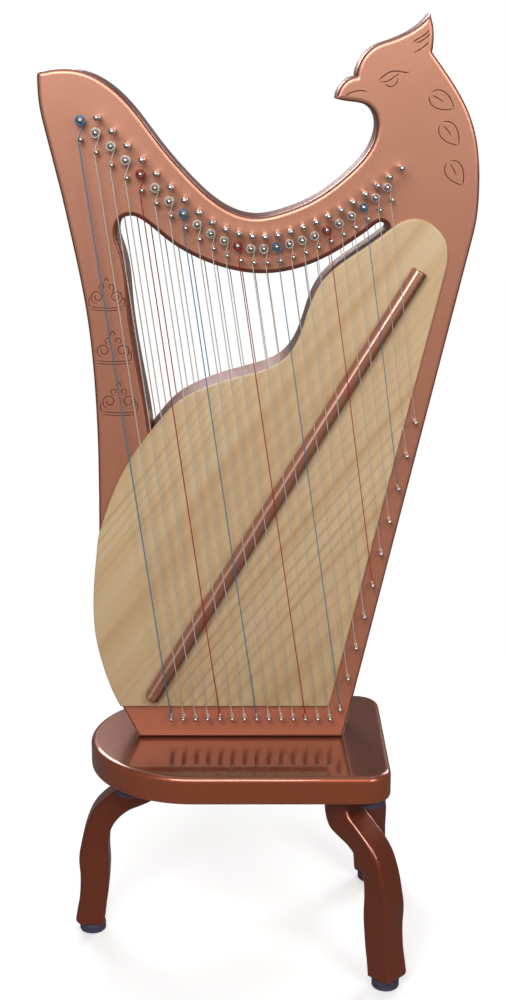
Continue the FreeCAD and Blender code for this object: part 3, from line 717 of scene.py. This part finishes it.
def scroll_strokes(centre, half):
    """A plain scroll: two volutes back to back on a bar, a smaller pair on top, and a bud between them."""
    x, z = centre
    strokes = []
    for way in (1, -1):
        strokes.append((volute((x + way * half * 0.55, z - half * 0.02), half * 0.42, way), 1.0))
        strokes.append((volute((x + way * half * 0.26, z + half * 0.56), half * 0.22, way, 10), 0.9))
        strokes.append(([(x + way * half, z - half * 0.6), (x + way * half * 1.06, z - half * 0.3),
                         (x + way * half * 0.98, z)], 0.9))
    for drop in (0.6, 0.76):
        strokes.append(([(x - half, z - half * drop), (x, z - half * (drop + 0.08)),
                         (x + half, z - half * drop)], 0.9))
    strokes.append(([(x - half * 0.16, z + half * 0.84), (x, z + half * 1.1),
                     (x + half * 0.16, z + half * 0.84)], 0.9))
    return strokes


def harp_frame():
    """Pillar, neck, head, limb and block in one slab, open between the pillar and the sound box."""
    loops = face_loops("harp_frame", 1, FRONT_FACE)[:2]
    outer, inner = [finer(finer(loop)) for loop in loops]
    outer = np.clip(outer, loops[0].min(axis=0), loops[0].max(axis=0))
    strokes = EYE_LINES + [BEAK_LINE] + CREST_LINES
    for leaf in LEAVES:
        strokes = strokes + leaf_strokes(*leaf)
    for scroll in SCROLLS:
        strokes = strokes + scroll_strokes(*scroll)
    surface = Surface()
    # finish 2 is the painted shade on the edges, sides and opening
    rounded_slab(surface, outer, [inner], Matrix.Translation((0, FRONT_FACE, 0)) @ FACE_ON,
                 BACK_FACE - FRONT_FACE, FRAME_ROUNDING, FRAME_ROUNDING, strokes, shaded_edge_finish=2)
    surface.piece("frame_panel", [COPPER, ENGRAVING, EDGE_SHADE], HARP, "frame_paint", ["harp_frame"])


# ---------------------------------------------------------------- soundboards and bridges
def soundboards():
    """A thin plate on each face, its outer edge eased."""
    for side in ("front", "back"):
        node = f"{side}_soundboard"
        low, high = box_mm(node)
        outer = finer(finer(face_loops(node, 1, low[1])[0]))
        surface = Surface()
        rounds = (SOUNDBOARD_ROUNDING, 0) if side == "front" else (0, SOUNDBOARD_ROUNDING)
        rounded_slab(surface, outer, [], Matrix.Translation((0, low[1], 0)) @ FACE_ON,
                     high[1] - low[1], *rounds, steps=4)
        surface.piece(f"soundboard_{side}", [SPRUCE], HARP, "soundboard_wood", [node])


BRIDGE_FOOT, BRIDGE_HEAD = Vector((-132, 0, 324)), Vector((182, 0, 844))
BRIDGE_WIDTH, BRIDGE_HEIGHT, BRIDGE_CHAMFER, BRIDGE_EASING = 18, 14, 5, 2.2
BRIDGE_RUN = (BRIDGE_HEAD - BRIDGE_FOOT).normalized()
BRIDGE_LENGTH = 607
BRIDGE_OVER = Vector((-BRIDGE_RUN.z, 0, BRIDGE_RUN.x))
BOARD_FACE = 5


def bridges():
    """A bar on each soundboard, its top edges cut away at a slant and every edge eased."""
    finish = bridge_lacquer(tuple(BRIDGE_OVER), BRIDGE_OVER.dot(BRIDGE_FOOT) * MM)
    for side in ("front", "back"):
        half, top, cut = BRIDGE_WIDTH / 2, BRIDGE_HEIGHT, BRIDGE_CHAMFER
        profile = [(-half, 0), (half, 0), (half, top - cut), (half - cut, top), (cut - half, top),
                   (-half, top - cut)]
        points = [out_from(side, BRIDGE_FOOT.x, BOARD_FACE + height, BRIDGE_FOOT.z)
                  + BRIDGE_RUN * length + BRIDGE_OVER * across
                  for length in (0, BRIDGE_LENGTH) for across, height in profile]
        size = len(profile)
        work = bmesh.new()
        verts = [work.verts.new(p) for p in points]
        for face in ring_faces(size, [0]) + end_faces(size, 2):
            work.faces.new([verts[i] for i in face])
        bmesh.ops.recalc_face_normals(work, faces=work.faces)
        bmesh.ops.bevel(work, geom=work.edges[:], offset=BRIDGE_EASING, segments=4, profile=0.5,
                        affect="EDGES")
        work.verts.index_update()
        surface = Surface()
        surface.add([v.co[:] for v in work.verts], [[v.index for v in f.verts] for f in work.faces])
        work.free()
        node = ["bridges"] if side == "front" else []
        surface.piece(f"bridge_{side}", [finish], HARP, "frame_paint", node, crease=50)


# ---------------------------------------------------------------- pins and posts
WOUND_REACH, DRIVE_REACH, DRIVE_LENGTH = 19, 36, 16
PIN_RADIUS, DRIVE_HALF = 3.3, 3.2
COIL_REACH, COIL_WIDTH = 12.5, 5.5
LOOP_REACH, LOOP_RADIUS = 5.8, 2
NECK_RADIUS, POST_RADIUS, POST_REACH, LOWEST_GUIDE = 1.8, 2.5, 17, 847
PIN_TURN_STEP = 37


def tuning_pins():
    """Round steel pins with domed ends, squared for the key at the far end."""
    length = WOUND_REACH + (BACK_FACE - FRONT_FACE) + DRIVE_REACH
    square = length - DRIVE_LENGTH
    rings = [(0, 0.5, 2), (0.2, 1.2, 2), (0.7, 2, 2), (1.5, 2.7, 2), (2.5, 3.15, 2), (3.4, PIN_RADIUS, 2),
             (square - 1.5, PIN_RADIUS, 2), (square, 3.2, 2), (square + 1.2, DRIVE_HALF, 4),
             (length - 2.8, DRIVE_HALF, 4), (length - 2, 3, 3), (length - 1.2, 2.55, 2.6),
             (length - 0.6, 2, 2.3), (length - 0.2, 1.3, 2), (length, 0.5, 2)]
    for joint in frame["joints"]:
        side, number = joint["name"].split("_")[0], int(joint["name"].split("_")[2])
        x, _, z = np.array(joint["pos_m"]) / MM
        out = Matrix.Translation(out_from(side, x, WOUND_REACH, z))
        lie = Matrix.Rotation(math.radians(-90 if side == "front" else 90), 4, "X")
        turn = Matrix.Rotation(math.radians(number * PIN_TURN_STEP % 90), 4, "Z")
        surface = Surface()
        lofted(surface, rings, 24, out @ lie @ turn)
        surface.piece(f"pin_{side}_{number:02d}", [PIN_METAL], joint["child"], "pin_steel", [joint["child"]])


def posts():
    """The grooved guide and hitch posts on both faces."""
    groove = COIL_REACH
    profile = [(-3, POST_RADIUS), (3.6, POST_RADIUS), (4.4, LOOP_RADIUS), (7.0, LOOP_RADIUS),
               (7.6, POST_RADIUS), (8.2, 2.1), (8.9, 2.1), (9.5, POST_RADIUS),
               (groove - 1.4, POST_RADIUS), (groove - 0.9, NECK_RADIUS + 0.15), (groove, NECK_RADIUS),
               (groove + 0.9, NECK_RADIUS + 0.15), (groove + 1.4, 2.45), (15.2, 2.45), (16.2, 2.0),
               (16.8, 1.2), (POST_REACH, 0.5)]
    surface = Surface()
    for low, high in lumps("string_posts"):
        side = "front" if low[1] < FRONT_FACE else "back"
        middle = (low + high) / 2
        turned_bar(surface, profile, 16, standing_out(side, middle[0], middle[2]))
    surface.piece("guide_and_hitch_posts", [POST_METAL], HARP, "post_steel", ["string_posts"])


# ---------------------------------------------------------------- strings
STRINGS = 24
BASS_GAUGE, TREBLE_GAUGE = 1.4, 0.8
COIL_GAP, COIL_STEPS = 0.3, 18
KNOT_REACH = 4.5
BINDING_STEPS, BINDING_TURN_STEPS, BINDING_PITCH = 50, 10, 0.09
BLUE_NOTES = (1, 8, 15, 22)
RED_NOTES = (5, 12, 19)


def post_places(side):
    """The guide posts and the hitch posts of one face, each row from the bass end."""
    places = []
    for low, high in lumps("string_posts"):
        if (low[1] < FRONT_FACE) == (side == "front"):
            places.append(((low + high) / 2)[[0, 2]])
    places.sort(key=lambda p: p[0])
    guides = [p for p in places if p[1] > LOWEST_GUIDE]
    hitches = [p for p in places if p[1] <= LOWEST_GUIDE]
    return guides, hitches


def touching(centre, radius, target, turn):
    """Where a line from a target touches a circle: turn is 1 for one side of it and -1 for the other."""
    run = np.subtract(target, centre)
    angle = math.atan2(run[1], run[0]) + turn * math.acos(radius / np.linalg.norm(run))
    return centre + radius * np.array([math.cos(angle), math.sin(angle)])


def on_bridge(start, end, over):
    """Where a line of the front view meets a line along the bridge, moved over from its middle."""
    origin = BRIDGE_FOOT + BRIDGE_OVER * over
    run = np.subtract(end, start)
    off = np.array([origin.x, origin.z]) - start
    share = (off[0] * BRIDGE_RUN.z - off[1] * BRIDGE_RUN.x) / (run[0] * BRIDGE_RUN.z - run[1] * BRIDGE_RUN.x)
    return start + run * share


def string_path(side, pin, guide, hitch, radius):
    """A string from its coil on the pin, past the guide and over the bridge, to its hitch post."""
    way = 1 if side == "front" else -1
    inner = PIN_RADIUS + COIL_GAP + radius
    outer = inner + 1.3 * radius
    bend_radius = NECK_RADIUS + radius + 0.1
    leave = touching(pin, outer, guide - [bend_radius, 0], way)
    enter = touching(guide, bend_radius, leave, 1)
    rest = np.array(hitch) + [0, POST_RADIUS + 3]
    depart = touching(guide, bend_radius, rest, -1)
    leave = touching(pin, outer, enter, way)

    path = []
    pitch = radius * 2.05
    layers = int((COIL_WIDTH - 2 * radius) / pitch)
    last = math.atan2(leave[1] - pin[1], leave[0] - pin[0])
    back_turns = layers / 2 + 0.3
    turns = layers + back_turns
    count = int(turns * COIL_STEPS)
    for k in range(count + 1):
        turn = turns * k / count
        if turn < layers:
            reach, depth = inner, COIL_REACH - layers / 2 * pitch + turn * pitch
        else:
            climb = min((turn - layers) * 4, 1)
            reach = inner + (outer - inner) * climb
            depth = COIL_REACH + layers / 2 * pitch - (turn - layers) * pitch
        angle = last + way * 2 * math.pi * (turns - turn)
        path.append(out_from(side, pin[0] + reach * math.cos(angle), depth,
                             pin[1] + reach * math.sin(angle)))

    for share in (0, 0.5, 1):
        place = guide + unit((enter - guide) * (1 - share) + (depart - guide) * share) * bend_radius
        path.append(out_from(side, place[0], COIL_REACH, place[1]))
    top_half = BRIDGE_WIDTH / 2 - BRIDGE_CHAMFER
    for over in (top_half, -top_half):
        place = on_bridge(depart, rest, over)
        path.append(out_from(side, place[0], BOARD_FACE + BRIDGE_HEIGHT + radius, place[1]))
    approach = unit(place - np.array(hitch))
    knot = hitch + approach * (POST_RADIUS + KNOT_REACH)
    path.append(out_from(side, knot[0], LOOP_REACH + 0.8, knot[1]))
    return path, approach, knot


def hitch_loop(side, hitch, approach, knot, radius):
    """The eye of a string round its post, and the short tight binding above it."""
    over = np.array([-approach[1], approach[0]])
    around = LOOP_RADIUS + radius
    eye = [knot]
    for degrees in range(60, 301, 20):
        a = math.radians(degrees)
        eye.append(hitch + approach * around * math.cos(a) + over * around * math.sin(a))
    eye.append(knot)
    loop = [out_from(side, p[0], LOOP_REACH, p[1]) for p in eye]
    binding = []
    for k in range(BINDING_STEPS):
        a = 2 * math.pi * k / BINDING_TURN_STEPS
        place = knot + approach * (k * BINDING_PITCH - 1.0)
        sway = over * (radius * 1.5 * math.cos(a))
        binding.append(out_from(side, place[0] + sway[0], LOOP_REACH + 0.6 + radius * 1.5 * math.sin(a),
                                place[1] + sway[1]))
    return loop, binding


def strings():
    """The strings in three colours: pale, with every C red and every F blue."""
    surfaces = {"pale": Surface(), "red": Surface(), "blue": Surface()}
    pins = {}
    for joint in frame["joints"]:
        side, _, number, _ = joint["name"].split("_")
        pins[side, int(number)] = np.array(joint["pos_m"])[[0, 2]] / MM
    for side in ("front", "back"):
        guides, hitches = post_places(side)
        for number in range(1, STRINGS + 1):
            colour = "blue" if number in BLUE_NOTES else "red" if number in RED_NOTES else "pale"
            share = (number - 1) / (STRINGS - 1)
            radius = (BASS_GAUGE + (TREBLE_GAUGE - BASS_GAUGE) * share) / 2
            hitch = hitches[number - 1]
            path, approach, knot = string_path(side, pins[side, number], guides[number - 1], hitch, radius)
            tube(surfaces[colour], path, radius)
            loop, binding = hitch_loop(side, hitch, approach, knot, radius * 0.8)
            tube(surfaces[colour], loop, radius * 0.8, 6)
            tube(surfaces[colour], binding, radius * 0.5, 6)
    finishes = {"pale": PALE_STRING, "red": RED_STRING, "blue": BLUE_STRING}
    for colour, surface in surfaces.items():
        node = ["strings"] if colour == "pale" else []
        surface.piece(f"strings_{colour}", [finishes[colour]], HARP, "string", node, crease=60)


# ---------------------------------------------------------------- stand
BOARD_CORNER, BOARD_TOP_ROUNDING, BOARD_FOOT_ROUNDING = 30, 7, 5
LEG_OUTSIDE = [(15, 12), (20, 18), (19, 28), (14.5, 53), (13, 80), (14, 105), (11, 124), (5, 148),
               (-5, 171), (-18, 186), (-36, 200), (-52, 213), (-58, 233.5)]
LEG_INSIDE = [(-88, 233.5), (-88, 205), (-80, 186), (-66, 178), (-50, 171), (-35, 158), (-26, 141),
              (-23.5, 118), (-24, 90), (-21, 56), (-17, 28), (-15, 12)]
LEG_WIDTH, LEG_ROUNDING = 35, 5
LEG_HEADINGS = {"left_foot_sole": 180, "front_right_foot_sole": -45, "back_right_foot_sole": 45}


def arc_points(centre, radius, start, end, steps):
    """Points along an arc, from one angle to another in degrees."""
    turns = np.radians(np.linspace(start, end, steps + 1))
    return centre + radius * np.stack([np.cos(turns), np.sin(turns)], 1)


def base_board():
    """The D-shaped board: half round to the left, two rounded corners to the right."""
    low, high = box_mm("base_board")
    half = (high[1] - low[1]) / 2
    inset = BOARD_CORNER
    outer = np.vstack([
        arc_points((low[0] + half, 0), half, 90, 270, 48),
        arc_points((high[0] - inset, inset - half), inset, -90, 0, 12),
        arc_points((high[0] - inset, half - inset), inset, 0, 90, 12),
    ])
    surface = Surface()
    top = Matrix(((1, 0, 0, 0), (0, 1, 0, 0), (0, 0, -1, high[2]), (0, 0, 0, 1)))
    rounded_slab(surface, outer, [], top, high[2] - low[2], BOARD_TOP_ROUNDING, BOARD_FOOT_ROUNDING, steps=7)
    surface.piece("base_board_lacquered", [BOARD_LACQUER], HARP, "stand_lacquer", ["base_board"])


def legs():
    """Three S-curved legs, each turned to stand over its own foot."""
    outline = np.vstack([through(LEG_OUTSIDE, 5), through(LEG_INSIDE, 5)])
    for mount in frame["record"]["mounts"]:
        x, y, _ = np.array(mount["pos_m"]) / MM
        heading = Matrix.Rotation(math.radians(LEG_HEADINGS[mount["name"]]), 4, "Z")
        centred = Matrix.Translation((0, -LEG_WIDTH / 2, 0)) @ FACE_ON
        surface = Surface()
        rounded_slab(surface, outline, [], Matrix.Translation((x, y, 0)) @ heading @ centred, LEG_WIDTH,
                     LEG_ROUNDING, LEG_ROUNDING)
        name = mount["name"].replace("_foot_sole", "_leg")
        node = ["legs"] if name == "left_leg" else []
        surface.piece(name, [SHADED_LEG_LACQUER], HARP, "stand_lacquer", node, crease=45)


def rubber_feet():
    """Ribbed rubber feet: three under the legs, four under the board."""
    surface = Surface()
    for low, high in lumps("rubber_feet"):
        middle = (low + high) / 2
        radius, height = (high[0] - low[0]) / 2, high[2] - low[2]
        profile = [(0, radius - 2.2), (0.4, radius - 1.2), (1.2, radius - 0.4), (2.2, radius)]
        for k in (0.36, 0.58):
            profile += [(height * k, radius), (height * k + 0.5, radius - 0.9), (height * k + 1.0, radius)]
        profile += [(height - 1.5, radius), (height - 0.5, radius - 0.6), (height, radius - 1.6)]
        turned_bar(surface, profile, 40, Matrix.Translation((middle[0], middle[1], low[2])))
    surface.piece("ribbed_feet", [RUBBER], HARP, "rubber", ["rubber_feet"])


def painted_solids():
    """Finishes for the solids that stay as they are."""
    # the rib takes the painted edge shade
    for node, finish in (("soundbox_rib", EDGE_SHADE), ("soundbox_braces", SOFTWOOD), ("bolts", BOLT_METAL)):
        mesh = frame["nodes"][node].data
        mesh.materials.clear()
        mesh.materials.append(finish)


# ---------------------------------------------------------------- studio
def paper():
    """White paper that fades into the white all round it."""
    finish = Finish("floor_paper", Roughness=0.8, Specular_IOR_Level=0.1, Emission_Strength=1.0)
    place = finish.place()
    grain = finish.noise(place, 40, 2)
    finish.give(Base_Color=finish.mix(grain, (0.7, 0.7, 0.7, 1), (0.72, 0.72, 0.71, 1)),
                Emission_Color=finish.mix(grain, (0.36, 0.36, 0.36, 1), (0.37, 0.37, 0.37, 1)))
    reach = finish.node("ShaderNodeVectorMath", {"operation": "LENGTH"}, [place], "Value")
    clear = finish.tree.nodes.new("ShaderNodeBsdfTransparent")
    fade = finish.node("ShaderNodeMixShader", {}, [finish.mask(reach, 0.35, 1.1)])
    finish.tree.links.new(finish.shader.outputs[0], fade.socket.node.inputs[1])
    finish.tree.links.new(clear.outputs[0], fade.socket.node.inputs[2])
    finish.tree.links.new(fade.socket, finish.tree.nodes["Material Output"].inputs[0])
    return finish.material


FLOOR_HALF, FLOOR_DROP = 2, -0.0004
ROOM_LIGHT, BACKDROP_LIGHT = 0.12, 1.0
SOFTBOXES = (
    # name, place, target, width, height, power
    ("key_softbox", (-0.4, -1.95, 2.0), (0, 0, 0.85), 1.3, 1.0, 41),
    ("fill_softbox", (1.3, -1.9, 1.8), (0, 0, 0.9), 0.9, 1.2, 22),
    ("top_softbox", (0, 0.5, 3.2), (0, 0, 0), 2.4, 2.0, 20),
    ("rear_key_softbox", (-0.9, 1.9, 1.9), (0, 0, 0.8), 1.3, 1.0, 30),
    ("rear_fill_softbox", (1.4, 1.6, 1.5), (0, 0, 0.8), 0.9, 1.2, 20),
)


def studio_floor():
    half = FLOOR_HALF
    mesh = bpy.data.meshes.new("studio_floor")
    corners = [(x, y, FLOOR_DROP) for x, y in ((-half, -half), (half, -half), (half, half), (-half, half))]
    mesh.from_pydata(corners, [], [(0, 1, 2, 3)])
    mesh.materials.append(paper())
    floor = bpy.data.objects.new("studio_floor", mesh)
    floor.visible_glossy = False
    bpy.context.scene.collection.objects.link(floor)


def studio_world():
    """White behind everything, and a dim room in what the lacquer mirrors."""
    world = bpy.data.worlds.new("studio_world")
    world.use_nodes = True
    tree = world.node_tree
    dim = tree.nodes["Background"]
    bright = tree.nodes.new("ShaderNodeBackground")
    for light, strength in ((dim, ROOM_LIGHT), (bright, BACKDROP_LIGHT)):
        light.inputs["Color"].default_value = (1, 1, 1, 1)
        light.inputs["Strength"].default_value = strength
    seen = tree.nodes.new("ShaderNodeLightPath")
    either = tree.nodes.new("ShaderNodeMixShader")
    tree.links.new(seen.outputs["Is Camera Ray"], either.inputs[0])
    tree.links.new(dim.outputs[0], either.inputs[1])
    tree.links.new(bright.outputs[0], either.inputs[2])
    tree.links.new(either.outputs[0], tree.nodes["World Output"].inputs[0])
    bpy.context.scene.world = world
    bpy.context.scene.view_settings.view_transform = "Standard"


def studio_lights():
    """Soft lights in front, above and behind."""
    for name, place, target, width, height, power in SOFTBOXES:
        light = bpy.data.lights.new(name, "AREA")
        light.shape = "RECTANGLE"
        light.size = width
        light.size_y = height
        light.energy = power
        lamp = bpy.data.objects.new(name, light)
        lamp.location = place
        lamp.rotation_euler = (Vector(target) - Vector(place)).to_track_quat("-Z", "Y").to_euler()
        lamp.visible_camera = False
        bpy.context.scene.collection.objects.link(lamp)


def camera():
    view = bpy.data.cameras.new("camera")
    view.lens = 57.6
    view.sensor_width = 36
    view.clip_start = 0.05
    view.clip_end = 60
    thing = bpy.data.objects.new("camera", view)
    thing.location = (-0.008, -1.839, 1.0685)
    thing.rotation_euler = (math.radians(90 - 15.2), 0, 0)
    bpy.context.scene.collection.objects.link(thing)
    bpy.context.scene.camera = thing


camera()
studio_floor()
studio_world()
studio_lights()
harp_frame()
soundboards()
bridges()
tuning_pins()
posts()
strings()
base_board()
legs()
rubber_feet()
painted_solids()
